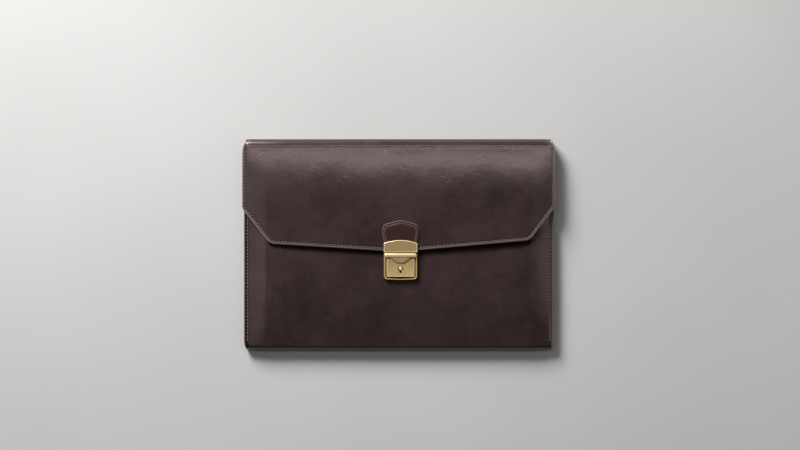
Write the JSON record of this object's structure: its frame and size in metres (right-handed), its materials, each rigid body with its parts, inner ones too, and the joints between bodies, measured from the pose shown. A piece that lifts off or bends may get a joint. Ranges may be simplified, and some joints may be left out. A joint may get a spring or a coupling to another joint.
{
  "type": "leather document case",
  "caption": "Slim leather document case lying on its back, one hide wrapped into a pocket and a long V-edged flap, side gussets, brass push lock.",
  "frame": {"origin": "centre of the face it lies on, which is the flat back of the case", "axes": "+X across the case to the right as seen from the front, +Y from the base fold up to the top fold, +Z out of the front, up while it lies down"},
  "size_m": [0.353, 0.238, 0.0252],
  "materials": {
    "dark_leather": "smooth waxed, soft sheen",
    "tab_leather": "smooth waxed, slightly redder",
    "gusset_leather": "matt",
    "lock_brass": "satin, lightly aged"
  },
  "bodies": {
    "case": {"leather_body": "dark_leather", "left_gusset": "gusset_leather", "right_gusset": "gusset_leather", "flap_tab": "tab_leather", "hasp_plate": "lock_brass", "lock_case": "lock_brass", "lock_face": "lock_brass", "key_post": "lock_brass"},
    "slider": {"lock_slider": "lock_brass"}
  },
  "joints": [
    {"name": "latch_slide", "type": "slide", "parent": "case", "child": "slider", "axis": [0, -1, 0], "range_m": [0, 0.003], "stiffness_N_per_m": 300, "springref_m": -0.002}
  ]
}
